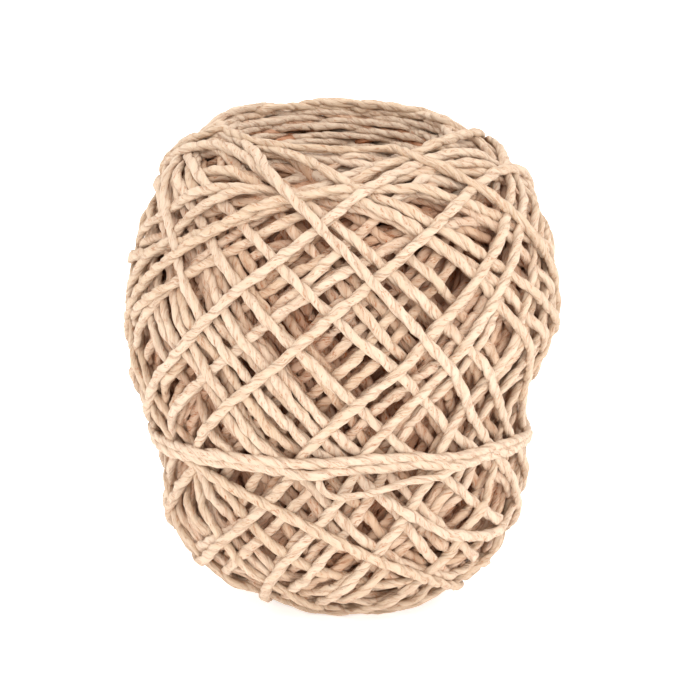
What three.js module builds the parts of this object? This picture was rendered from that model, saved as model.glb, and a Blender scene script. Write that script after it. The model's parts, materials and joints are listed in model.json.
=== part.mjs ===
import * as THREE from "three";

// A machine-wound ball of twisted paper yarn. Millimetres, +Z up along the axis it was wound about.
// The photographed front faces -Y, and the origin is on the table under the middle of the ball's box.
// The yarn runs in slanting turns from the upper rim to the lower one, round a hole left by the spindle.

const yarnWidth = 2.1;

// The outline that the outermost strands reach: its radius at each height, and how far its middle leans
// to the right there. The turns round the waist pull it in at about a third of the height.
const outline = [
  { height: 0, radius: 14, lean: 1.2 },
  { height: 3, radius: 20, lean: 1.2 },
  { height: 8, radius: 26.6, lean: 0.4 },
  { height: 15, radius: 31.6, lean: 0.1 },
  { height: 25, radius: 33.9, lean: 0.3 },
  { height: 31, radius: 34.7, lean: -0.2 },
  { height: 36, radius: 35.8, lean: -1.6 },
  { height: 41, radius: 36.6, lean: -1.7 },
  { height: 46, radius: 38.2, lean: -1 },
  { height: 52, radius: 39.6, lean: 0 },
  { height: 58, radius: 39.5, lean: -0.1 },
  { height: 68, radius: 37.8, lean: 0.4 },
  { height: 76, radius: 34.8, lean: 0.4 },
  { height: 82, radius: 30.8, lean: -0.6 },
  { height: 86.5, radius: 24.6, lean: -0.8 },
  { height: 88.4, radius: 20.5, lean: -1.4 },
];
const outlineSteps = 600;

// The top as it has settled: its right side and its front sit a little lower.
const settling = { from: 60, over: 28, right: 0.9, front: 0.8 };

// The slanting turns: two families of raised twists that cross. A column is half the distance between
// neighbouring twists of one family. Winding angles run from 0 at the upper rim to 180 at the lower one.
const columns = 56;
const windingRows = 62;
const firstAngle = 20;
const lastAngle = 158;
const twist = { spread: 0.5, sunk: 0.8, ridge: -0.25, pit: -2.5, seed: 7 };

// Two level turns laid last round the waist, higher at the front, and the hollow they pull in.
const waist = { height: 31.2, rise: 2.2, reach: 9, hollow: 1.7, hollowReach: 4.2 };

// The way in from the lower rim, up the spindle hole and out through the crater at the top. Radii
// alternate where level strands line the crater's wall. The first two rows are the flat resting face.
const throat = [
  { height: 0, radius: 14 },
  { height: 0, radius: 10 },
  { height: 1.8, radius: 9.2 },
  { height: 6, radius: 8.4 },
  { height: 16, radius: 8 },
  { height: 30, radius: 8 },
  { height: 44, radius: 8.2 },
  { height: 56, radius: 9 },
  { height: 63, radius: 10.8 },
  { height: 68.5, radius: 13 },
  { height: 72, radius: 13.4 },
  { height: 74.4, radius: 15.6 },
  { height: 77, radius: 14.6 },
  { height: 79.4, radius: 16.8 },
  { height: 82, radius: 15.8 },
  { height: 84.4, radius: 17.9 },
  { height: 86.8, radius: 17.4 },
  { height: 88.4, radius: 20.5 },
];
const throatLean = { bottom: 1.2, top: -1.4 };

// The loose end of the yarn, thinned by its untwisting: it leaves the waist turns at the front right,
// lies over the slanting turns and is tucked up under the waist turns again, which ride over both ends.
const tailWidth = 1.4;
const tailSides = 8;
const tailSteps = 28;
const tailRoute = [
  [21.3, -29.2, 32.3],
  [20.0, -30.0, 31.9],
  [18.8, -30.6, 31.5],
  [17.3, -31.4, 31.0],
  [15.6, -32.2, 30.7],
  [13.3, -33.1, 30.6],
  [11.0, -33.9, 30.3],
  [8.7, -34.5, 29.8],
  [6.1, -35.0, 29.0],
  [3.5, -35.3, 28.3],
  [0.9, -35.4, 28.0],
  [-1.3, -35.3, 28.1],
  [-2.8, -35.2, 28.8],
  [-3.7, -35.3, 29.8],
  [-4.0, -35.6, 30.9],
  [-4.1, -35.9, 32.0],
];

const degrees = Math.PI / 180;
const mix = THREE.MathUtils.lerp;

// Smooth curve through one column of a table, against its heights.
function curveOf(table, column) {
  const heights = table.map((row) => row.height);
  const values = table.map((row) => row[column]);
  const curve = new THREE.CubicInterpolant(heights, values, 1);
  return (height) => curve.evaluate(height)[0];
}

const radiusAt = curveOf(outline, "radius");
const leanAt = curveOf(outline, "lean");
const topHeight = outline[outline.length - 1].height;

// Heights along the outline against the length of the way down from the upper rim.
function wayDown() {
  const marks = [{ way: 0, height: topHeight }];
  for (let step = 1; step <= outlineSteps; step++) {
    const last = marks[marks.length - 1];
    const height = topHeight * (1 - step / outlineSteps);
    const across = radiusAt(height) - radiusAt(last.height);
    marks.push({ way: last.way + Math.hypot(across, last.height - height), height });
  }
  return marks;
}

const marks = wayDown();
const wholeWay = marks[marks.length - 1].way;

// A slanting turn is a flat loop, so equal turns of the winding angle come closer at the rims.
function heightAtAngle(angle) {
  const way = (wholeWay * (1 - Math.cos(angle))) / 2;
  const index = marks.findIndex((mark) => mark.way >= way);
  const after = marks[Math.max(index, 1)];
  const before = marks[Math.max(index, 1) - 1];
  return mix(before.height, after.height, (way - before.way) / (after.way - before.way));
}

function near(height, middle, reach) {
  return Math.exp(-(((height - middle) / reach) ** 2));
}

// A point at an azimuth from the front, at a height before settling.
function place(azimuth, height, radius, lean) {
  const share = THREE.MathUtils.clamp((height - settling.from) / settling.over, 0, 1) ** 2;
  const sunk = settling.right * Math.sin(azimuth) + settling.front * Math.cos(azimuth);
  const lift = waist.rise * Math.cos(azimuth) * near(height, waist.height, waist.reach);
  return new THREE.Vector3(
    lean + radius * Math.sin(azimuth),
    -radius * Math.cos(azimuth),
    height - share * sunk + lift,
  );
}

// One number from -1 to 1 for each twist of a family, the same on every run.
function unevenness(seed) {
  const values = [];
  for (let index = 0; index < columns; index++) {
    const noise = Math.sin((index + 1) * 12.9898 + seed * 78.233) * 43758.5453;
    values.push(2 * (noise - Math.floor(noise)) - 1);
  }
  return values;
}

const fallingShift = unevenness(twist.seed);
const risingShift = unevenness(twist.seed + 1);
const fallingSunk = unevenness(twist.seed + 2);
const risingSunk = unevenness(twist.seed + 3);

// How far a crossing point of the two families lies out from the outline: highest where two raised
// twists cross, a little lower along one, and deepest between them.
function twistLevel(falling, rising) {
  const fallingLevel = -twist.sunk * (fallingSunk[falling] / 2 + 0.5);
  const risingLevel = -twist.sunk * (risingSunk[rising] / 2 + 0.5);
  const onFalling = falling % 2 === 0;
  const onRising = rising % 2 === 0;
  if (onFalling && onRising) {
    return Math.max(fallingLevel, risingLevel);
  }
  if (onFalling || onRising) {
    return twist.ridge + (onFalling ? fallingLevel : risingLevel);
  }
  return twist.pit;
}

const rowStep = ((lastAngle - firstAngle) * degrees) / (windingRows - 1);
const rowAngle = (row) => firstAngle * degrees + row * rowStep;

// The two rows nearest the waist's middle carry its two level turns.
function waistSide(row) {
  if (heightAtAngle(rowAngle(row)) >= waist.height && heightAtAngle(rowAngle(row + 1)) < waist.height) {
    return 1;
  }
  if (heightAtAngle(rowAngle(row - 1)) >= waist.height && heightAtAngle(rowAngle(row)) < waist.height) {
    return -1;
  }
  return 0;
}

// One row of the winding: every other row is set over by half a column, so that the rows' points are
// where the two families of twists cross.
function windingRow(row) {
  const angle = rowAngle(row);
  const side = waistSide(row);
  const free = 1 - near(heightAtAngle(angle), waist.height, yarnWidth * 2);
  const loose = Math.min(free, row / 4, (windingRows - 1 - row) / 4);
  const points = [];
  for (let column = 0; column < columns; column++) {
    const falling = column;
    const rising = (column + row) % columns;
    const shift = (twist.spread * Math.max(loose, 0)) / 2;
    const along = shift * (risingShift[rising] + fallingShift[falling]);
    const azimuth = ((column + row / 2 + along) / columns) * 2 * Math.PI;
    const down = shift * (risingShift[rising] - fallingShift[falling]) * rowStep * 2;
    let height = heightAtAngle(angle + down);
    const calm = 1 - near(height, waist.height, yarnWidth * 1.5);
    const hollow = waist.hollow * near(height, waist.height, waist.hollowReach);
    let level = twistLevel(falling, rising) * calm - hollow;
    if (side !== 0) {
      height = waist.height + (side * yarnWidth) / 2;
      level = 0;
    }
    points.push(place(azimuth, height, radiusAt(height) + level, leanAt(height)));
  }
  return points;
}

function throatRow(row, mark) {
  const lean = mix(throatLean.bottom, throatLean.top, mark.height / topHeight);
  const points = [];
  for (let column = 0; column < columns; column++) {
    const azimuth = ((column + row / 2) / columns) * 2 * Math.PI;
    points.push(place(azimuth, mark.height, mark.radius, lean));
  }
  return points;
}

// The ball's surface is a closed ring of rows. Each diamond between two rows is split from its highest
// to its lowest corner where twists cross in it, and across where the wall is plain.
function ballGeometry() {
  const rows = [];
  for (let row = 0; row < windingRows; row++) {
    rows.push(windingRow(row));
  }
  for (const mark of throat) {
    rows.push(throatRow(rows.length, mark));
  }
  const count = rows.length;
  const indexOf = (row, column) => {
    const turned = row >= count ? column + count / 2 : row < 0 ? column - count / 2 : column;
    return ((row + count) % count) * columns + ((turned + 2 * columns) % columns);
  };
  const triangles = [];
  for (let row = 0; row < count; row++) {
    const crossed = row > 0 && row < windingRows - 1;
    for (let column = 0; column < columns; column++) {
      const left = indexOf(row, column);
      const right = indexOf(row, column + 1);
      const top = indexOf(row - 1, column + 1);
      const bottom = indexOf(row + 1, column);
      const upright = crossed && row % 2 === 1;
      if (upright) {
        triangles.push(top, left, bottom, top, bottom, right);
      } else {
        triangles.push(left, bottom, right, left, right, top);
      }
    }
  }
  const geometry = new THREE.BufferGeometry();
  const places = rows.flat().flatMap((point) => point.toArray());
  geometry.setAttribute("position", new THREE.Float32BufferAttribute(places, 3));
  geometry.setIndex(triangles);
  return geometry;
}

function tailGeometry() {
  const section = new THREE.Shape();
  section.absarc(0, 0, tailWidth / 2, 0, 2 * Math.PI);
  const route = new THREE.CatmullRomCurve3(tailRoute.map((point) => new THREE.Vector3(...point)));
  const settings = { steps: tailSteps, curveSegments: tailSides / 2, bevelEnabled: false };
  return new THREE.ExtrudeGeometry(section, { ...settings, extrudePath: route });
}

function named(name, geometry, material) {
  const mesh = new THREE.Mesh(geometry, material);
  mesh.name = name;
  return mesh;
}

const paper = { roughness: 0.75, metalness: 0 };
const ball = named(
  "wound_ball",
  ballGeometry(),
  new THREE.MeshStandardMaterial({ color: 0xe6ccb0, ...paper }),
);
const tail = named(
  "tail_end",
  tailGeometry(),
  new THREE.MeshStandardMaterial({ color: 0xeed6bc, ...paper }),
);

const yarnBall = new THREE.Group();
yarnBall.add(ball, tail);
ball.geometry.computeBoundingBox();
const middle = ball.geometry.boundingBox.getCenter(new THREE.Vector3());
yarnBall.position.set(-middle.x, -middle.y, 0);

export default yarnBall;
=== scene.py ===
import json
import math

import bpy
import numpy as np
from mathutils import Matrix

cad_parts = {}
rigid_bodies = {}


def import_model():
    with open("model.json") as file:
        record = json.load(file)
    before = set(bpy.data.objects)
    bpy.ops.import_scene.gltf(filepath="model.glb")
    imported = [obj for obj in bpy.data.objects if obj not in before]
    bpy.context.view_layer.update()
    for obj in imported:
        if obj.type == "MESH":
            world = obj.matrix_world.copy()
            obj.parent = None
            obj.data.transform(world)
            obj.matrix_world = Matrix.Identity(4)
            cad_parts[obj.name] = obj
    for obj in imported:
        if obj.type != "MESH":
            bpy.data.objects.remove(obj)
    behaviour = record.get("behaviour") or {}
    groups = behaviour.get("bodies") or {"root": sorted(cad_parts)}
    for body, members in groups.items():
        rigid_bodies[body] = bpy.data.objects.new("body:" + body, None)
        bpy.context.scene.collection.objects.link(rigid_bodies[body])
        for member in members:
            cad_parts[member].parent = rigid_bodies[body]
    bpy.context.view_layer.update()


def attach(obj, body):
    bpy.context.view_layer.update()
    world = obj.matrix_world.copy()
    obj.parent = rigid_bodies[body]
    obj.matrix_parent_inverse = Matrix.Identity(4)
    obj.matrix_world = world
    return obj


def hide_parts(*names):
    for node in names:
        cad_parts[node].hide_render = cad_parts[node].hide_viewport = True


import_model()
for existing in list(bpy.data.objects):
    if existing.type in ("CAMERA", "LIGHT") or existing.name == "Cube":
        bpy.data.objects.remove(existing)
mm = 0.001

# The photographed ball: millimetres, azimuths in degrees from the front (-Y) towards the right (+X).

ball = dict(
    yarn=2.1,              # width of the twisted strand
    flat=0.66,             # its thickness against its width, as it lies pressed on the ball
    middleX=0.156,         # where the outline's own axis stands over the origin
    middleY=-0.298,
    settleFrom=60,         # above this height the top has settled a little to the right and the front
    settleOver=28,
    settleRight=0.5,
    settleFront=0.8,
    lipTop=[(17.9, 84.4), (18.2, 85.8), (18.7, 87.1), (19.6, 88.2)],    # radius and height inside the rims
    lipLow=[(12.9, 0.0), (12.0, 0.3), (11.3, 1.0), (10.8, 2.2)],
    core=(-0.1, 0.0, 44.7),    # towards which smaller copies of the outline shrink
    heightsRead=1800,      # how finely the outline is read
    lineStep=0.1,          # along its length
    lineRounding=9,        # over this many steps
)

# height, radius and lean to the right of the outline that the outermost strands reach
outline = np.array([
    (0, 14, 1.2), (3, 20.8, 1.2), (8, 27.6, 0.4), (15, 32.2, 0.0), (25, 33.9, 0.3), (31, 34.7, -0.2),
    (36, 35.8, -1.6), (41, 36.6, -1.7), (46, 38.2, -1.0), (52, 39.6, 0.0), (58, 39.5, -0.1),
    (68, 37.9, 0.4), (76, 35.1, 0.5), (82, 31.6, -0.2), (86.5, 25.6, -0.4), (88.7, 21, -1.0),
])


def smoothThrough(knots, values):
    # a cubic through every row of a table, with the slope at each row taken from its neighbours
    slopes = np.gradient(values, knots)

    def curve(at):
        i = np.clip(np.searchsorted(knots, at) - 1, 0, len(knots) - 2)
        gap = knots[i + 1] - knots[i]
        t = np.clip((at - knots[i]) / gap, 0, 1)
        ends = values[i] * (1 + 2 * t) * (1 - t) ** 2 + values[i + 1] * t * t * (3 - 2 * t)
        return ends + gap * (slopes[i] * t * (1 - t) ** 2 + slopes[i + 1] * t * t * (t - 1))

    return curve


radiusAt = smoothThrough(outline[:, 0], outline[:, 1])
leanAt = smoothThrough(outline[:, 0], outline[:, 2])


def smoothed(values, sigma, wrap=False):
    # each value becomes the bell-weighted mean of its neighbours
    reach = max(1, int(3 * sigma))
    bell = np.exp(-0.5 * (np.arange(-reach, reach + 1) / sigma) ** 2)
    padded = np.pad(values, reach, mode="wrap" if wrap else "edge")
    return np.convolve(padded, bell / bell.sum(), mode="valid")


def lineDown():
    # the outline as a line down the ball at even steps of its length: way, which is 0 at the upper rim and
    # less inside the crater, radius, height, the two parts of its normal, and the way to the lower rim
    heights = np.linspace(outline[-1, 0], 0, ball["heightsRead"])
    inner, outer = np.array(ball["lipTop"]), np.array(ball["lipLow"])
    across = np.concatenate([inner[:, 0], radiusAt(heights), outer[:, 0]])
    upward = np.concatenate([inner[:, 1], heights, outer[:, 1]])
    lengths = np.concatenate([[0], np.cumsum(np.hypot(np.diff(across), np.diff(upward)))])
    lip = lengths[len(inner)]
    way = np.arange(0, lengths[-1], ball["lineStep"])
    r = smoothed(np.interp(way, lengths, across), ball["lineRounding"])
    z = smoothed(np.interp(way, lengths, upward), ball["lineRounding"])
    dr, dz = np.gradient(r), np.gradient(z)
    size = np.hypot(dr, dz)
    return way - lip, r, z, -dz / size, dr / size, lengths[-1 - len(outer)] - lip


lineWay, lineR, lineZ, lineOutR, lineOutZ, wholeWay = lineDown()


def onBall(azimuth, way, out):
    # the point at an azimuth (radians) and a way down the outline, a distance out along its normal
    r = np.interp(way, lineWay, lineR) + out * np.interp(way, lineWay, lineOutR)
    z = np.interp(way, lineWay, lineZ)
    lean = leanAt(np.clip(z, 0, outline[-1, 0]))
    share = np.clip((z - ball["settleFrom"]) / ball["settleOver"], 0, 1) ** 2
    z = z + out * np.interp(way, lineWay, lineOutZ)
    z = z - share * (ball["settleRight"] * np.sin(azimuth) + ball["settleFront"] * np.cos(azimuth))
    x = lean + r * np.sin(azimuth) + ball["middleX"]
    y = -r * np.cos(azimuth) + ball["middleY"]
    return np.stack([x, y, z], axis=-1)


def outOfBall(azimuth, way):
    # the outline's normal there
    outR = np.interp(way, lineWay, lineOutR)
    outZ = np.interp(way, lineWay, lineOutZ)
    return np.stack([outR * np.sin(azimuth), -outR * np.cos(azimuth), outZ], axis=-1)


def wayOfHeight(height):
    # the way down at a height, looked up where the outline faces outwards
    facing = lineOutR > 0.02
    return np.interp(-np.asarray(height), -lineZ[facing], lineWay[facing])


def wayOfLevel(level):
    # a winding level runs evenly along the way, from 1 at the upper rim to -1 at the lower one
    return wholeWay * (1 - level) / 2


# The ball is built from the outside inwards: the last turns lie on the outline, and each earlier one lies
# as high as those over it let it, on a map over the azimuth and the way down of how low they reach.

windMap = dict(
    columns=720,
    wayCell=0.3,           # a row of the map
    wayFrom=-3.0,          # where its rows begin
    start=-0.15,           # what the outermost turns may reach
    squash=0.67,           # a strand takes this share of its thickness where it crosses another
    pressed=0.4,           # and this share of that deep inside, where the winding is packed
    pressedFrom=1.0,
    pressedOver=4.0,
    heldReach=5.0,         # how far a strand stays low between two crossings
    heldRounding=1.6,      # over this many steps
    step=0.65,             # along the strand
    finer=3,               # steps on the map for each of those
    feels=0.7,             # share of its radius over which a strand feels what lies over it
    feelsAt=5,             # at so many places
    fills=0.95,            # share of its radius over which it fills the map
    fillsAt=7,
    free=99.0,             # room where nothing lies over a strand
    jump=3.0,              # radians; a longer step of azimuth is the seam of the circle
    # painted shade: strands this far in and deeper are painted darker and warmer, for the shade in the gaps
    deepFrom=1.3,          # strands this far in begin to darken
    deepOver=5.0,
)
waist = dict(
    height=31.2,
    rise=2.2,                                   # higher in front and lower behind
    out=-0.35,
    apart=0.72,                                 # each from the line between them
    lift=[(0.5, 22, 16)],                       # mm higher, about this azimuth, over this many degrees
    overTail=[(1.9, 36, 9), (1.9, -6.5, 6)],    # mm further out over the ends of the loose end
    upperShare=0.35,                            # how much of that the upper one follows
    sway=[(0.16, 3, 1.1), (0.10, 7, 1.0)],      # mm up and down, waves round the ball, phase
    ride=(0.22, 2, 0.8),                        # the same for how they ride up on one another
    bob=(0.12, 9, 2.0),
)


def wrapGradient(values):
    # half the step from the point before to the point after, round a closed loop of azimuths or ways
    step = np.roll(values, -1) - np.roll(values, 1)
    return (step - 2 * math.pi * np.round(step / (2 * math.pi)) * (np.abs(step) > windMap["jump"])) / 2


class Winding:
    # the map of how low the strands laid so far reach
    def __init__(self):
        self.rows = int((wholeWay - 2 * windMap["wayFrom"]) / windMap["wayCell"])
        self.low = np.full((self.rows, windMap["columns"]), windMap["start"])

    def cells(self, azimuth, way):
        # the map's row and column at each place
        row = np.clip(((way - windMap["wayFrom"]) / windMap["wayCell"]).astype(int), 0, self.rows - 1)
        column = np.floor(azimuth / (2 * math.pi) * windMap["columns"]).astype(int) % windMap["columns"]
        return row, column

    def lay(self, azimuth, way, closed, fixed=None):
        # the strand's middle stays under all that lies over its width and low between two such places, and
        # then the map is lowered along it; fixed gives the middle's height instead
        radius = ball["yarn"] / 2
        grow = wrapGradient if closed else np.gradient
        r = np.interp(way, lineWay, lineR)
        along, down = r * grow(azimuth), grow(way)
        size = np.hypot(along, down)
        across, sink = -down / size / r, along / size
        out = fixed
        if out is None:
            room = np.full(len(azimuth), windMap["free"])
            for offset in np.linspace(-windMap["feels"], windMap["feels"], windMap["feelsAt"]) * radius:
                row, column = self.cells(azimuth + offset * across, way + offset * sink)
                thick = ball["flat"] * math.sqrt(radius**2 - offset**2) * (2 * windMap["squash"] - 1)
                room = np.minimum(room, self.low[row, column] - thick)
            out = heldDown(room, closed)
        finer = lambda v, turn=0.0: resampled(v, len(v) * windMap["finer"], closed, turn)
        fineAzimuth, fineWay, fineOut = finer(azimuth, 2 * math.pi), finer(way), finer(out)
        fineAcross, fineSink = finer(across), finer(sink)
        packed = np.clip((-fineOut - windMap["pressedFrom"]) / windMap["pressedOver"], 0, 1)
        share = ball["flat"] * (1 - (1 - windMap["pressed"]) * packed)
        for offset in np.linspace(-windMap["fills"], windMap["fills"], windMap["fillsAt"]) * radius:
            row, column = self.cells(fineAzimuth + offset * fineAcross, fineWay + offset * fineSink)
            np.minimum.at(self.low, (row, column), fineOut - share * math.sqrt(radius**2 - offset**2))
        return out


def resampled(values, count, closed, turn=0.0):
    # the same run of values at another number of even steps; a closed run ends where it began, plus turn
    ends = np.append(values, values[0] + turn) if closed else values
    at = np.linspace(0, len(ends) - 1, count, endpoint=not closed)
    return np.interp(at, np.arange(len(ends)), ends)


def heldDown(room, closed):
    # highest line under room without a bulge between two low places near each other: each point is
    # lowered to the lowest chord between a point before it and a point after it
    furthest = int(windMap["heldReach"] / windMap["step"])
    padded = np.pad(room, furthest, mode="wrap" if closed else "edge")
    size = len(room)
    best = room.copy()
    for before in range(1, furthest + 1):
        left = padded[furthest - before:furthest - before + size]
        for after in range(1, furthest + 1):
            right = padded[furthest + after:furthest + after + size]
            np.minimum(best, (left * after + right * before) / (before + after), out=best)
    return smoothed(best, windMap["heldRounding"], wrap=closed)


def evenly(azimuth, way, closed):
    # a path at equal steps of its real length, and the step
    if closed:
        azimuth, way = np.append(azimuth, azimuth[0] + 2 * math.pi), np.append(way, way[0])
    points = onBall(azimuth, way, -ball["yarn"] * ball["flat"] / 2)
    length = np.concatenate([[0], np.cumsum(np.linalg.norm(np.diff(points, axis=0), axis=1))])
    count = max(8, int(round(length[-1] / windMap["step"])))
    at = np.linspace(0, length[-1], count, endpoint=not closed)
    gaps = count if closed else count - 1
    return np.interp(at, length, azimuth), np.interp(at, length, way), length[-1] / gaps


# The turns that show best in the photo: azimuth of the crest, and the levels of the crest and of the lowest
# place. Beyond 1 a turn runs along the rim. They lie in this order, the last one outermost. Most rows are a
# scratch program's fit, rounded, to points picked by eye along a strand in the photo; a few are set by hand.

shownTurns = [
    (-112, 0.77, -0.78), (-117, 0.71, -0.91), (-102, 0.75, -0.72), (177, 0.71, -0.99), (99, 0.68, -0.78),
    (101, 0.79, -0.63), (-160, 0.78, -0.69), (143, 0.70, -0.81), (147, 0.98, -0.91), (-92, 0.67, -0.74),
    (38, 0.64, -0.79), (-96, 0.81, -0.90), (118, 1.00, -0.97), (22, 0.88, 0.19), (-130, 1.00, -0.69),
    (8, 0.82, -0.81), (39, 0.87, -0.06), (-95, 0.83, -0.53), (-77, 0.83, -0.50), (-22, 0.79, -0.44),
    (135, 1.10, -0.98), (-165, 1.15, -1.00), (165, 1.12, -0.97), (60, 0.98, 0.35), (-47, 1.00, 0.00),
    (-15, 0.80, -0.99), (-125, 1.00, -0.51), (-53, 0.92, -0.56), (9, 0.80, -0.38), (45, 0.92, -0.52),
    (104, 0.81, -0.97), (99, 0.83, -0.69), (65, 0.78, -0.64), (-62, 1.00, -0.67), (-24, 1.27, -0.20),
    (-75, -0.22, -0.90),
]

# The turns below and behind them: one or two turns side by side, then the winding goes on elsewhere.

windingPlan = dict(
    seed=11,
    outer=28,
    middle=34,
    deep=40,
    crestVaries=0.08,
    sideBySide=2,
    pitch=8.5,             # degrees between neighbours
    pitchVaries=(0.7, 1.5),
    full=0.7,              # share of the turns that reach nearly to both rims
    fullFrom=0.84,
    fullTo=0.985,
    shortFrom=0.55,
    levelVaries=0.02,      # between neighbours
    highest=0.99,
    clippedAt=1.01,        # the level of a turn that runs along a rim
    swayWaves=(2, 3, 5),   # round the ball
    swayLevel=0.010,
    shownSway=0.3,         # share of it for the turns placed after the photo
    rimArcs=8,             # after each kind and at each rim, turns made only where they come nearest to it
    rimArcHalf=62,
    rimArcPoints=160,
    rimArcLevel=(0.975, 1.01),
    rimArcDrop=0.75,
    rimArcOffset=1.3,      # radians between those at the two rims
)
goldenAngle = math.pi * (3 - math.sqrt(5))
anyAngle = (0, 6.28)


def turnPath(crest, high, low, rng, sway=1.0):
    # a slanting turn is a flat loop: its level is a cosine of the azimuth from its crest, a little swayed
    azimuth = np.linspace(-math.pi, math.pi, windMap["columns"], endpoint=False)
    level = (high + low) / 2 + (high - low) / 2 * np.cos(azimuth - crest)
    for wave in windingPlan["swayWaves"]:
        size = sway * rng.normal(0, windingPlan["swayLevel"] / wave**0.5)
        level = level + size * np.cos(wave * azimuth + rng.uniform(*anyAngle))
    return azimuth, wayOfLevel(np.clip(level, -windingPlan["clippedAt"], windingPlan["clippedAt"]))


def nearestLevel(rng):
    # how near a turn comes to a rim
    least = "fullFrom" if rng.uniform() < windingPlan["full"] else "shortFrom"
    return rng.uniform(windingPlan[least], windingPlan["fullTo"])


def windBall():
    # the waist turns, the turns placed after the photo from the last to the first, and all the others
    rng = np.random.default_rng(windingPlan["seed"])
    winding = Winding()
    strands = []

    def add(kind, azimuth, way, closed=True, fixed=None):
        # evens a path out, lays it and keeps the strand, painted darker the deeper it lies: painted shade
        azimuth, way, gap = evenly(azimuth, way, closed)
        out = winding.lay(azimuth, way, closed, fixed(azimuth) if fixed else None)
        strands.append(dict(
            kind=kind,
            points=onBall(azimuth, way, out),
            outward=outOfBall(azimuth, way),
            closed=closed,
            gap=gap,
            out=out,
            depth=np.clip((-out - windMap["deepFrom"]) / windMap["deepOver"], 0, 1),
        ))

    for side in (-1, 1):
        add("waist", *waistPath(side), True, lambda azimuth: waistOut(azimuth, side))
    for crest, high, low in reversed(shownTurns):
        add("outer", *turnPath(math.radians(crest), high, low, rng, windingPlan["shownSway"]))
    pitch = math.radians(windingPlan["pitch"])
    varied = lambda level: level + rng.normal(0, windingPlan["levelVaries"])
    crest = 0.0
    for kind in ("outer", "middle", "deep"):
        made = 0
        while made < windingPlan[kind]:
            crest += goldenAngle + rng.normal(0, windingPlan["crestVaries"])
            high, low = nearestLevel(rng), -nearestLevel(rng)
            for index in range(rng.integers(1, windingPlan["sideBySide"] + 1)):
                beside = crest + pitch * rng.uniform(*windingPlan["pitchVaries"]) * index
                add(kind, *turnPath(beside, min(varied(high), windingPlan["highest"]), varied(low), rng))
                made += 1
        rimArcs(add, rng)
    return strands


def rimArcs(add, rng):
    # turns that come nearest to a rim, of which only the stretch there is made
    half = math.radians(windingPlan["rimArcHalf"])
    start = rng.uniform(*anyAngle)
    for index in range(windingPlan["rimArcs"]):
        for side in (1, -1):
            crest = start + index * goldenAngle + (0 if side > 0 else windingPlan["rimArcOffset"])
            azimuth = np.linspace(crest - half, crest + half, windingPlan["rimArcPoints"])
            fall = windingPlan["rimArcDrop"] * (1 - np.cos(azimuth - crest))
            level = rng.uniform(*windingPlan["rimArcLevel"]) - fall
            add("rim", azimuth, wayOfLevel(side * level), False)


def humps(azimuth, table):
    # the sum of bell-shaped humps, each a height, a middle and a half width in degrees
    turned = np.degrees((azimuth + math.pi) % (2 * math.pi) - math.pi)
    return sum(height * np.exp(-(((turned - middle) / half) ** 2)) for height, middle, half in table)


def waistPath(side):
    # two level turns side by side round the waist, each swaying a little
    azimuth = np.linspace(-math.pi, math.pi, windMap["columns"], endpoint=False)
    sway = sum(size * np.sin(waves * azimuth + phase * side) for size, waves, phase in waist["sway"])
    height = waist["height"] + waist["rise"] * np.cos(azimuth) + humps(azimuth, waist["lift"])
    height = height + side * waist["apart"] + sway
    return azimuth, wayOfHeight(height)


def waistOut(azimuth, side):
    # they ride up on one another in turns, and the lower one over both ends of the loose end
    (ride, rideWaves, ridePhase), (bob, bobWaves, bobPhase) = waist["ride"], waist["bob"]
    out = waist["out"] + side * ride * np.sin(rideWaves * azimuth + ridePhase)
    out = out + bob * np.sin(bobWaves * azimuth + bobPhase * side)
    return out + humps(azimuth, waist["overTail"]) * (1 if side < 0 else waist["upperShare"])


# The crater and the way in below are lined by the crests of the turns wound before, each on a smaller copy
# of the ball's outline.

craterPlan = dict(
    seed=5,
    top=76,
    topSizes=(0.40, 0.985),    # against the outline
    low=22,
    lowSizes=(0.62, 0.97),
    crowding=0.5,          # below 1 more of them lie near the rim
    half=72,
    pointsRadius=22,       # of the arc whose length sets the number of points
    crestVaries=0.15,
    levelVaries=0.006,
    drop=0.36,             # how soon an arc leaves the wall and goes down inside the winding
    slant=0.02,
    # painted shade: arcs smaller than this lie deeper in the crater and are painted darker
    darkBelow=0.76,        # smaller ones than this are darker
    darkness=1.3,
    # painted light: a tint above any random one lifts the colour of the crater's wall, which lies in shade
    tint=1.3,
)


def craterArcs():
    # an arc lies on the outline shrunk towards the core; its level falls as a cosine from the rim's
    rng = np.random.default_rng(craterPlan["seed"])
    core = np.array(ball["core"])
    half = math.radians(craterPlan["half"])
    arcs = []
    for side, place in ((1, "top"), (-1, "low")):
        count, (first, last) = craterPlan[place], craterPlan[place + "Sizes"]
        for index in range(count):
            size = first + (last - first) * (index / (count - 1)) ** craterPlan["crowding"]
            crest = index * goldenAngle + rng.normal(0, craterPlan["crestVaries"])
            length = 2 * half * craterPlan["pointsRadius"] * size
            turned = np.linspace(-half, half, int(length / windMap["step"]))
            level = 1.0 + rng.normal(0, craterPlan["levelVaries"]) - craterPlan["drop"] * (1 - np.cos(turned))
            way = wayOfLevel(side * (level + craterPlan["slant"] * np.sin(turned)))
            azimuth = turned + crest
            points = core + size * (onBall(azimuth, way, -ball["yarn"] / 2 / size) - core)
            # painted shade on the smaller, deeper arcs
            depth = np.full(len(turned), craterPlan["darkness"] * max(0.0, craterPlan["darkBelow"] - size))
            arcs.append(openStrand(points, outOfBall(azimuth, way), depth, craterPlan["tint"]))
    return arcs


def openStrand(points, outward, depth, tint=None):
    # a strand with two ends, through points that are evenly spaced; without a tint it gets one at random
    gap = float(np.mean(np.linalg.norm(np.diff(points, axis=0), axis=1)))
    return dict(points=points, outward=outward, closed=False, gap=gap, depth=depth, tint=tint)


# Down the hole the first turns show, slanting both ways along its wall.

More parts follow.
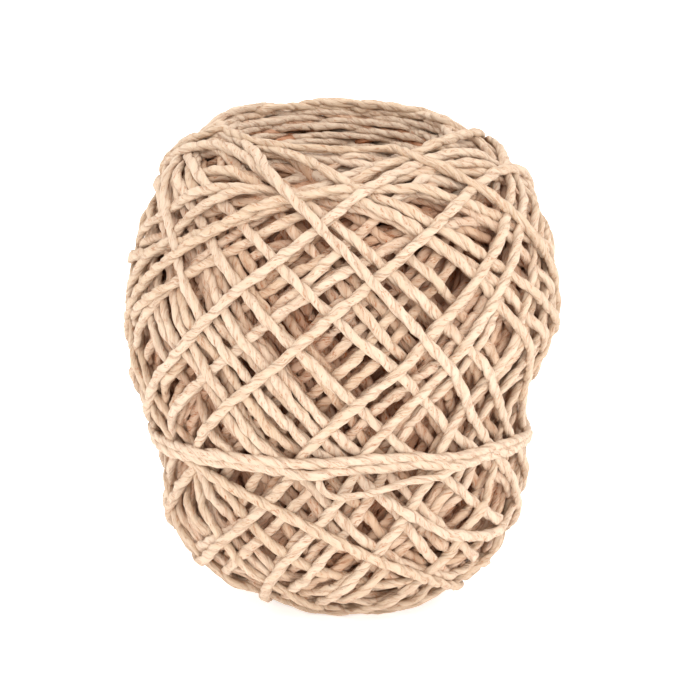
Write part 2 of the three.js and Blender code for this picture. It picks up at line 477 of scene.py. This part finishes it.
holePlan = dict(
    count=44,
    wall=[(5, 10.0), (11, 9.1), (28, 8.7), (44, 9.0), (57, 10.2), (66, 12.6)],    # height and radius
    points=100,
    turned=2.4,            # radians that a strand goes round on its way up
    apart=0.45,            # between the two slants
    # painted shade: the turns are painted darker the lower they lie in the hole
    darkFrom=70,
    darkOver=60,
)


def holeTurns():
    # helices on the wall: the azimuth turns evenly with the height, in one way and the other by turns
    heights, radii = np.array(holePlan["wall"]).T
    height = np.linspace(heights[0], heights[-1], holePlan["points"])
    share = (height - heights[0]) / (heights[-1] - heights[0])
    turns = []
    for index in range(holePlan["count"]):
        side = 1 if index % 2 else -1
        azimuth = index * goldenAngle + side * holePlan["turned"] * share
        r = np.interp(height, heights, radii) + side * holePlan["apart"] / 2
        points = np.stack([r * np.sin(azimuth), -r * np.cos(azimuth), height], axis=-1)
        outward = np.stack([-np.sin(azimuth), np.cos(azimuth), 0 * height], axis=-1)
        # painted shade, darker towards the bottom of the hole
        depth = np.clip((holePlan["darkFrom"] - height) / holePlan["darkOver"], 0, 1)
        turns.append(openStrand(points, outward, depth))
    return turns


# A strand is two plies twisted together: its section is wide across the plies with a groove on each side
# between them, and turns along the path.

strandLooks = dict(
    pitch=9.6,             # length of one whole turn of the twist, right-handed
    narrow=0.82,           # the section's width between the plies against its width across them
    groove=0.07,
    grooveReach=0.34,
    square=0.66,           # below 1 the section is flatter on top than an ellipse
    uneven=0.07,
    unevenOver=(61, 23, 11, 6, 4),    # lengths of the waves in which the size sways
    wander=0.12,           # how far the path strays sideways
    wanderOver=(26, 15, 9),
    wave=0.55,             # spread of the heights of all these waves
    twistVaries=0.5,
    crumple=0.055,
    crumpleOver=3,         # rings
    crumpleEven=1.7,
    tips=(0.3, 0.7, 0.92), # sizes of the first rings at an end
    uvLength=10,
    uvShift=90,
    fine=(0, 38, 68, 90, 112, 142, 180, 218, 248, 270, 292, 322),
    medium=(0, 42, 74, 106, 138, 180, 222, 254, 286, 318),
    coarse=(0, 50, 90, 130, 180, 230, 270, 310),
)


def strandVerts(points, outward, gap, closed, corners, rng, width, flat):
    # a tube round the points: each ring is the section, square to the path, turned on by the twist and
    # pressed flat on the ball; its size sways along the strand and is crumpled from corner to corner
    count = len(points)
    total = count * gap
    along = np.arange(count) * gap
    tangent = np.roll(points, -1, 0) - np.roll(points, 1, 0) if closed else np.gradient(points, axis=0)
    tangent /= np.linalg.norm(tangent, axis=1, keepdims=True)
    normal = outward - tangent * np.sum(outward * tangent, axis=1, keepdims=True)
    normal /= np.linalg.norm(normal, axis=1, keepdims=True)
    side = np.cross(tangent, normal)

    def sways(lengths):
        # the sum of a few sines along the strand, each a whole number of waves about so long
        waves = np.maximum(1, np.round(total / np.array(lengths)))[:, None]
        phases = waves * along[None, :] / total + rng.uniform(size=len(lengths))[:, None]
        sizes = rng.normal(0, strandLooks["wave"], len(lengths))
        return np.sum(sizes[:, None] * np.sin(2 * math.pi * phases), axis=0)

    sway = sways(strandLooks["unevenOver"])
    points = points + (strandLooks["wander"] * sways(strandLooks["wanderOver"]))[:, None] * side
    turns = total / strandLooks["pitch"]
    turns = round(turns) if closed else turns
    twist = rng.uniform(*anyAngle) - 2 * math.pi * turns * along / total + strandLooks["twistVaries"] * sway
    angle = np.radians(corners)
    wide = np.cos(angle)
    section = strandLooks["narrow"] + (1 - strandLooks["narrow"]) * wide**2
    section = section - strandLooks["groove"] * np.exp(-((wide / strandLooks["grooveReach"]) ** 2))
    loose = rng.normal(0, strandLooks["crumple"], (count, len(corners)))
    bumps = sum(np.roll(loose, ring, 0) for ring in range(strandLooks["crumpleOver"]))
    bumps = bumps / strandLooks["crumpleEven"]
    size = width / 2 * (section[None, :] * (1 + strandLooks["uneven"] * sway)[:, None] + bumps)
    if not closed:
        taper = np.ones(count)
        taper[:3] = taper[:-4:-1] = strandLooks["tips"]
        size = size * taper[:, None]
    turned = angle[None, :] + twist[:, None]
    squared = lambda v: np.sign(v) * np.abs(v) ** strandLooks["square"]
    across = (size * squared(np.cos(turned)))[..., None] * side[:, None]
    upward = (size * squared(np.sin(turned)) * flat)[..., None] * normal[:, None]
    verts = points[:, None] + across + upward
    verts[..., 2] = np.maximum(verts[..., 2], 0.0)
    return verts.reshape(-1, 3)


def gridFaces(rows, columns, closedRows):
    # quads between neighbouring rows of a grid whose columns go round; and, for each quad, its first
    # row and column
    row, column = np.meshgrid(np.arange(rows if closedRows else rows - 1), np.arange(columns), indexing="ij")
    nextRow, nextColumn = (row + 1) % rows, (column + 1) % columns
    ends = [(row, column), (row, nextColumn), (nextRow, nextColumn), (nextRow, column)]
    quads = np.stack([r * columns + c for r, c in ends], axis=-1)
    return quads.reshape(-1, 4), row.ravel(), column.ravel()


def cornerUvs(row, column, along, around):
    # a UV for each corner of each quad, running on over the seams
    u = np.stack([row, row, row + 1, row + 1], axis=1) * along
    v = np.stack([column, column + 1, column + 1, column], axis=1) * around
    return np.stack([u, v], axis=-1).reshape(-1, 2)


def addPiece(name, node, slotName, verts, faces, uvs, values, material):
    # a mesh from whole arrays: quads, a UV for each corner, and named values for each vertex
    mesh = bpy.data.meshes.new(name)
    mesh.vertices.add(len(verts))
    mesh.vertices.foreach_set("co", (verts * mm).astype(np.float32).ravel())
    mesh.loops.add(faces.size)
    mesh.loops.foreach_set("vertex_index", faces.astype(np.int32).ravel())
    mesh.polygons.add(len(faces))
    mesh.polygons.foreach_set("loop_start", np.arange(0, faces.size, 4, dtype=np.int32))
    mesh.update(calc_edges=True)
    mesh.polygons.foreach_set("use_smooth", np.ones(len(faces), dtype=bool))
    mesh.uv_layers.new(name="along").data.foreach_set("uv", uvs.astype(np.float32).ravel())
    for key, value in values.items():
        mesh.attributes.new(key, "FLOAT", "POINT").data.foreach_set("value", value.astype(np.float32))
    mesh.materials.append(material)
    piece = bpy.data.objects.new(name, mesh)
    bpy.context.collection.objects.link(piece)
    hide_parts(node)
    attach(piece, "root")
    print(name, len(faces) * 2, "triangles")
    return piece


def strandPiece(name, strands, fineness, step, seed, material, **other):
    # all the strands of a piece as one mesh of tubes
    looks = dict(node="wound_ball", slotName="paper_yarn", width=ball["yarn"], flat=ball["flat"]) | other
    rng = np.random.default_rng(seed)
    corners = strandLooks[fineness]
    verts, faces, uvs, tint, depth = [], [], [], [], []
    start = 0
    for strand in strands:
        closed, points = strand["closed"], strand["points"]
        length = (len(points) if closed else len(points) - 1) * strand["gap"]
        count = max(8, int(round(length / step)))
        fit = lambda values: resampled(values, count, closed)
        line = np.stack([fit(points[:, k]) for k in range(3)], axis=1)
        outward = np.stack([fit(strand["outward"][:, k]) for k in range(3)], axis=1)
        gap = length / count
        verts.append(strandVerts(line, outward, gap, closed, corners, rng, looks["width"], looks["flat"]))
        quads, row, column = gridFaces(count, len(corners), closed)
        faces.append(quads + start)
        strandUvs = cornerUvs(row, column, gap / strandLooks["uvLength"], 1 / len(corners))
        strandUvs[:, 0] += rng.uniform(0, strandLooks["uvShift"])
        uvs.append(strandUvs)
        anyTint = rng.uniform()
        tint.append(np.full(count * len(corners), strand.get("tint") or anyTint))
        depth.append(np.repeat(fit(strand["depth"]), len(corners)))
        start += count * len(corners)
    values = dict(tint=np.concatenate(tint), depth=np.concatenate(depth))
    arrays = np.concatenate(verts), np.concatenate(faces), np.concatenate(uvs)
    return addPiece(name, looks["node"], looks["slotName"], *arrays, values, material)


# Behind the turns: the ribbed body of the winding, which shows deep in the gaps.

innerPlan = dict(
    profile=[
        (9.6, 11), (14, 8), (21, 10.5), (25.5, 18), (27, 29), (28.5, 40), (31, 50), (31.5, 59),
        (29, 68), (26.5, 75), (24, 80), (21.5, 81.5), (19.5, 79), (17.4, 74.5), (15.3, 70),
        (12.8, 64), (10.8, 57), (9.6, 44), (9.2, 28),
    ],
    profilePoints=4096,
    rounding=110,
    rows=90,
    columns=200,
    ribs=40,
    ribHeight=0.8,
    ribShape=0.6,
    slant=26,
    # painted shade: below this height the body is painted darker and its tint lower; up behind the crater's
    # wall it has none
    deepBelow=80,          # up behind the crater's wall it is as light as the turns
    deepOver=12,
    # painted light: a tint above any strand's random one lifts the body's colour behind the crater's wall
    tint=1.2,
    uvAlong=0.17,
    uvAround=10,
)


def innerWinding(material):
    # a ring whose section is a smooth closed profile, ribbed by two crossing sets of slanting strands
    profile = np.array(innerPlan["profile"], dtype=float)
    rows, columns = innerPlan["rows"], innerPlan["columns"]
    dense = [resampled(profile[:, k], innerPlan["profilePoints"], True) for k in range(2)]
    r, z = (resampled(smoothed(v, innerPlan["rounding"], wrap=True), rows, True) for v in dense)
    dr, dz = (np.roll(v, -1) - np.roll(v, 1) for v in (r, z))
    size = np.hypot(dr, dz)
    share = np.arange(rows)[:, None] / rows * 2 * math.pi
    azimuth = np.arange(columns)[None, :] / columns * 2 * math.pi
    across, slant = innerPlan["ribs"] / 2 * azimuth, innerPlan["slant"] / 2 * share
    ribs = np.maximum(np.abs(np.cos(across + slant)), np.abs(np.cos(across - slant)))
    out = innerPlan["ribHeight"] * ribs ** innerPlan["ribShape"]
    rr = r[:, None] + out * (dz / size)[:, None]
    zz = z[:, None] - out * (dr / size)[:, None]
    verts = np.stack([rr * np.sin(azimuth), -rr * np.cos(azimuth), zz], axis=-1).reshape(-1, 3)
    faces, row, column = gridFaces(rows, columns, True)
    uvs = cornerUvs(row, column, innerPlan["uvAlong"], innerPlan["uvAround"] / columns)
    depth = np.clip((innerPlan["deepBelow"] - verts[:, 2]) / innerPlan["deepOver"], 0, 1)
    # the tint falls as the painted shade grows: the body is painted darker lower down
    values = dict(tint=innerPlan["tint"] - depth, depth=depth)
    return addPiece("inner_winding", "wound_ball", "paper_yarn", verts, faces, uvs, values, material)


# The loose end, on the same route as in the CAD model. Most of the route is points picked by eye in the photo
# that a scratch program placed on the ball, some of them then moved by hand.

tail = dict(
    thick=1.4,
    length=0.030,
    shift=(0.156, -0.298, 0.0),
    route=[
        (21.3, -29.2, 32.3), (20.0, -30.0, 31.9), (18.8, -30.6, 31.5), (17.3, -31.4, 31.0),
        (15.6, -32.2, 30.7), (13.3, -33.1, 30.6), (11.0, -33.9, 30.3), (8.7, -34.5, 29.8),
        (6.1, -35.0, 29.0), (3.5, -35.3, 28.3), (0.9, -35.4, 28.0), (-1.3, -35.3, 28.1),
        (-2.8, -35.2, 28.8), (-3.7, -35.3, 29.8), (-4.0, -35.6, 30.9), (-4.1, -35.9, 32.0),
    ],
    points=60,
    rounding=1.2,
    upTilt=0.5,
    flat=0.85,
    step=0.5,
    seed=31,
)


def looseEnd(material):
    # a strand along the route, its corners a little rounded, that faces out from the ball's axis
    route = np.array(tail["route"]) + np.array(tail["shift"])
    length = np.concatenate([[0], np.cumsum(np.linalg.norm(np.diff(route, axis=0), axis=1))])
    at = np.linspace(0, length[-1], tail["points"])
    rounded = lambda values: smoothed(np.interp(at, length, values), tail["rounding"])
    points = np.stack([rounded(route[:, k]) for k in range(3)], axis=1)
    points[0], points[-1] = route[0], route[-1]
    outward = points * np.array([1, 1, 0.0]) + np.array([0, 0, tail["upTilt"]])
    outward /= np.linalg.norm(outward, axis=1, keepdims=True)
    strand = openStrand(points, outward, np.zeros(tail["points"]))
    strand["gap"] = length[-1] / (tail["points"] - 1)
    own = dict(node="tail_end", slotName="loose_yarn", width=tail["thick"], flat=tail["flat"])
    piece = strandPiece("tail", [strand], "fine", tail["step"], tail["seed"], material, **own)


class Value:
    # one output socket; arithmetic on values adds Math nodes
    def __init__(self, graph, socket):
        self.graph, self.socket = graph, socket

    def maths(self, operation, *others):
        return self.graph.node("ShaderNodeMath", {"operation": operation}, self, *others)

    def __add__(self, other):
        return self.maths("ADD", other)

    def __sub__(self, other):
        return self.maths("SUBTRACT", other)

    def __rsub__(self, other):
        return self.graph.node("ShaderNodeMath", {"operation": "SUBTRACT"}, other, self)

    def __mul__(self, other):
        return self.maths("MULTIPLY", other)

    def __truediv__(self, other):
        return self.maths("DIVIDE", other)

    __radd__, __rmul__ = __add__, __mul__


class Graph:
    # the nodes of a material or a world; values are numbers, colours or Value sockets
    def __init__(self, owner):
        owner.use_nodes = True
        self.owner, self.tree = owner, owner.node_tree
        self.tree.nodes.clear()

    def node(self, kind, settings=None, *values, output=0, **named):
        # one node of any kind; values go to its first sockets, named ones to the sockets of that name
        made = self.tree.nodes.new(kind)
        for key, value in (settings or {}).items():
            setattr(made, key, value)
        for index, value in enumerate(values):
            self.feed(made.inputs[index], value)
        for key, value in named.items():
            self.feed(made.inputs[key.replace("_", " ")], value)
        return Value(self, made.outputs[output]) if len(made.outputs) else None

    def feed(self, socket, value):
        if isinstance(value, Value):
            self.tree.links.new(value.socket, socket)
        else:
            socket.default_value = value

    def mix(self, factor, first, second):
        made = self.tree.nodes.new("ShaderNodeMix")
        made.data_type, made.clamp_factor = "RGBA", True
        for index, value in ((0, factor), (6, first), (7, second)):
            self.feed(made.inputs[index], value)
        return Value(self, made.outputs[2])

    def finish(self, **named):
        shader = self.tree.nodes.new("ShaderNodeBsdfPrincipled")
        for key, value in named.items():
            self.feed(shader.inputs[key.replace("_", " ")], value)
        self.node("ShaderNodeOutputMaterial", None, Value(self, shader.outputs[0]))
        return self.owner


paperLooks = dict(
    light=(0.66, 0.512, 0.385, 1),
    plain=(0.565, 0.408, 0.275, 1),
    # the colour of the painted shade, in the grooves, along the crease lines and deep in the winding
    shadeColour=(0.44, 0.125, 0.03, 1),
    patches=(1.2, 1.1, 2.0, 0.55),    # of each noise: stretch along the strand, scale, detail, roughness
    creases=(1.1, 3.4, 3.0, 0.6),
    lines=(1.6, 4.2, 1.0, 0.55),
    breaks=(4.0, 1.7, 1.0, 0.55),
    patchShade=1.5,
    creaseShade=2.2,
    strandShade=0.6,
    grooveSlope=2.6,
    # painted shade in the groove between the plies
    grooveShade=0.2,
    lineSlope=20,
    breakFrom=0.47,
    breakSlope=9,
    # painted shade along the thin crease lines
    lineShade=0.75,
    # painted shade deep in the winding, down the hole, on the smaller crater arcs and low on the inner body
    deepShade=0.6,
    ply=0.6,                          # heights of the bumps
    crease=0.7,
    line=0.5,
    bump=0.6,
    bumpDistance=0.0005,
    roughness=0.66,
    roughnessVaries=0.2,
    shine=0.3,
)


def paperYarn(name, looks):
    # crumpled paper ribbon: the tone, named shade below, is the sum of patches, creases and the strand's own
    # tint; a groove is where the cosine round the strand nears 0, a thin line where a noise passes its
    # middle, broken up by another noise; both, and the painted shade value, turn the colour to the shade
    # colour: painted shade in the grooves, along the crease lines and deep in the winding
    g = Graph(bpy.data.materials.new(name))
    uv = g.node("ShaderNodeUVMap", {"uv_map": "along"})
    u = g.node("ShaderNodeSeparateXYZ", None, uv)
    v = g.node("ShaderNodeSeparateXYZ", None, uv, output=1)
    tint = g.node("ShaderNodeAttribute", {"attribute_name": "tint"}, output=2)
    depth = g.node("ShaderNodeAttribute", {"attribute_name": "depth"}, output=2)
    around = v * (2 * math.pi)
    cosine, sine = around.maths("COSINE"), around.maths("SINE")

    def noise(pattern):
        # a soft pattern round and along the strand, 0.5 on the average
        stretch, scale, detail, unevenness = looks[pattern]
        place = g.node("ShaderNodeCombineXYZ", None, u * stretch, cosine, sine)
        settings = {"noise_dimensions": "3D"}
        values = dict(Vector=place, Scale=scale, Detail=detail, Roughness=unevenness)
        return g.node("ShaderNodeTexNoise", settings, **values)

    patches, creases = noise("patches"), noise("creases")
    lines, breaks = noise("lines"), noise("breaks")
    shade = (patches - 0.5) * looks["patchShade"] + (creases - 0.5) * looks["creaseShade"]
    shade = shade + (tint - 0.5) * looks["strandShade"] + 0.5
    tinted = g.mix(shade, looks["plain"], looks["light"])
    groove = 1 - (cosine.maths("ABSOLUTE") * looks["grooveSlope"]).maths("MINIMUM", 1.0)
    line = 1 - ((lines - 0.5).maths("ABSOLUTE") * looks["lineSlope"]).maths("MINIMUM", 1.0)
    broken = ((breaks - looks["breakFrom"]) * looks["breakSlope"]).maths("MAXIMUM", 0.0).maths("MINIMUM", 1.0)
    dash = line * broken
    # painted shade: the grooves, the crease lines and the painted shade value turn the colour towards the
    # shade colour
    shadeMix = groove * looks["grooveShade"] + dash * looks["lineShade"] + depth * looks["deepShade"]
    colour = g.mix(shadeMix.maths("MINIMUM", 1.0), tinted, looks["shadeColour"])
    height = (1 - groove) * looks["ply"] + creases * looks["crease"] - dash * looks["line"]
    relief = dict(Strength=looks["bump"], Distance=looks["bumpDistance"], Height=height)
    bump = g.node("ShaderNodeBump", None, **relief)
    rough = looks["roughness"] + (creases - 0.5) * looks["roughnessVaries"]
    return g.finish(Base_Color=colour, Roughness=rough, Normal=bump, Specular_IOR_Level=looks["shine"])


cameraPlan = dict(
    distance=700.0,
    lens=196.65,
    sensor=36.0,
    nearest=0.01,
    elevation=13.0,
    aimX=1.6,
    aimUp=1.56,
    middle=44.7,
)


def makeCamera():
    # it looks at a point beside the ball's middle, from straight in front and a little above
    tilt = math.radians(cameraPlan["elevation"])
    forward = np.array([0, math.cos(tilt), -math.sin(tilt)])
    up = np.array([0, math.sin(tilt), math.cos(tilt)])
    aim = np.array([cameraPlan["aimX"], 0, cameraPlan["middle"]]) + cameraPlan["aimUp"] * up
    data = bpy.data.cameras.new("camera")
    data.lens, data.sensor_width, data.clip_start = (cameraPlan[key] for key in ("lens", "sensor", "nearest"))
    camera = bpy.data.objects.new("camera", data)
    camera.location = (aim - cameraPlan["distance"] * forward) * mm
    camera.rotation_euler = (math.pi / 2 - tilt, 0, 0)
    bpy.context.collection.objects.link(camera)
    bpy.context.scene.camera = camera


# A large soft light in front and above, in a white room whose ceiling is brighter.

lightPlan = dict(azimuth=28, elevation=43, strength=1.0, softness=75)
room = dict(
    wall=(1, 1, 1, 1),
    ceiling=(1.52, 1.507, 1.488, 1),
    wallTop=0.10,
    wallFade=0.25,
    floor=(0.9, 0.9, 0.9, 1),
    floorRoughness=0.9,
    floorHalf=6.0,
    glow=0.62,
)


def makeLights():
    # the room's colour goes from the wall's to the ceiling's with the height of the direction
    data = bpy.data.lights.new("front", "SUN")
    data.energy, data.angle = lightPlan["strength"], math.radians(lightPlan["softness"])
    light = bpy.data.objects.new("front", data)
    light.rotation_euler = (math.radians(90 - lightPlan["elevation"]), 0, math.radians(lightPlan["azimuth"]))
    bpy.context.collection.objects.link(light)
    world = bpy.data.worlds.new("room")
    world.use_nodes = True
    g = Graph(world)
    upward = g.node("ShaderNodeSeparateXYZ", None, g.node("ShaderNodeTexCoord"), output=2)
    share = ((upward - room["wallTop"]) / room["wallFade"]).maths("MAXIMUM", 0.0)
    background = g.node("ShaderNodeBackground", None, g.mix(share, room["wall"], room["ceiling"]))
    g.node("ShaderNodeOutputWorld", None, background)
    bpy.context.scene.world = world


def makeFloor():
    half = room["floorHalf"]
    mesh = bpy.data.meshes.new("floor")
    corners = [(-half, -half, 0), (half, -half, 0), (half, half, 0), (-half, half, 0)]
    mesh.from_pydata(corners, [], [(0, 1, 2, 3)])
    glow = dict(Emission_Color=room["wall"], Emission_Strength=room["glow"])
    g = Graph(bpy.data.materials.new("paleFloor"))
    mesh.materials.append(g.finish(Base_Color=room["floor"], Roughness=room["floorRoughness"], **glow))
    floor = bpy.data.objects.new("floor", mesh)
    bpy.context.collection.objects.link(floor)


print("camera and loose end")
makeCamera()
paper = paperYarn("paperYarn", paperLooks)
looseEnd(paper)

print("winding the ball")
strands = windBall()
kinds = ("waist", "outer", "middle", "deep", "rim")
byKind = {kind: [strand for strand in strands if strand["kind"] == kind] for kind in kinds}
firstCut, secondCut = 19, 38    # of the outer turns, from the outermost on: three pieces, the finest first

print("building the turns")
# each piece's name, its strands, the section's fineness, the step along a strand and the seed
for turnsPiece in (
    ("waist_turns", byKind["waist"], "fine", 0.6, 47),
    ("outer_turns_a", byKind["outer"][:firstCut], "fine", 0.7, 43),
    ("outer_turns_b", byKind["outer"][firstCut:secondCut], "medium", 0.75, 44),
    ("outer_turns_c", byKind["outer"][secondCut:], "medium", 0.8, 45),
    ("middle_turns", byKind["middle"], "coarse", 1.0, 42),
    ("deep_turns", byKind["deep"], "coarse", 1.4, 41),
    ("rim_turns", byKind["rim"], "coarse", 0.9, 48),
    ("crater_turns", craterArcs(), "coarse", 0.8, 46),
    ("hole_turns", holeTurns(), "coarse", 2.0, 49),
):
    strandPiece(*turnsPiece, paper)
innerWinding(paper)

print("light and floor")
makeLights()
makeFloor()
bpy.context.scene.view_settings.view_transform = "Standard"
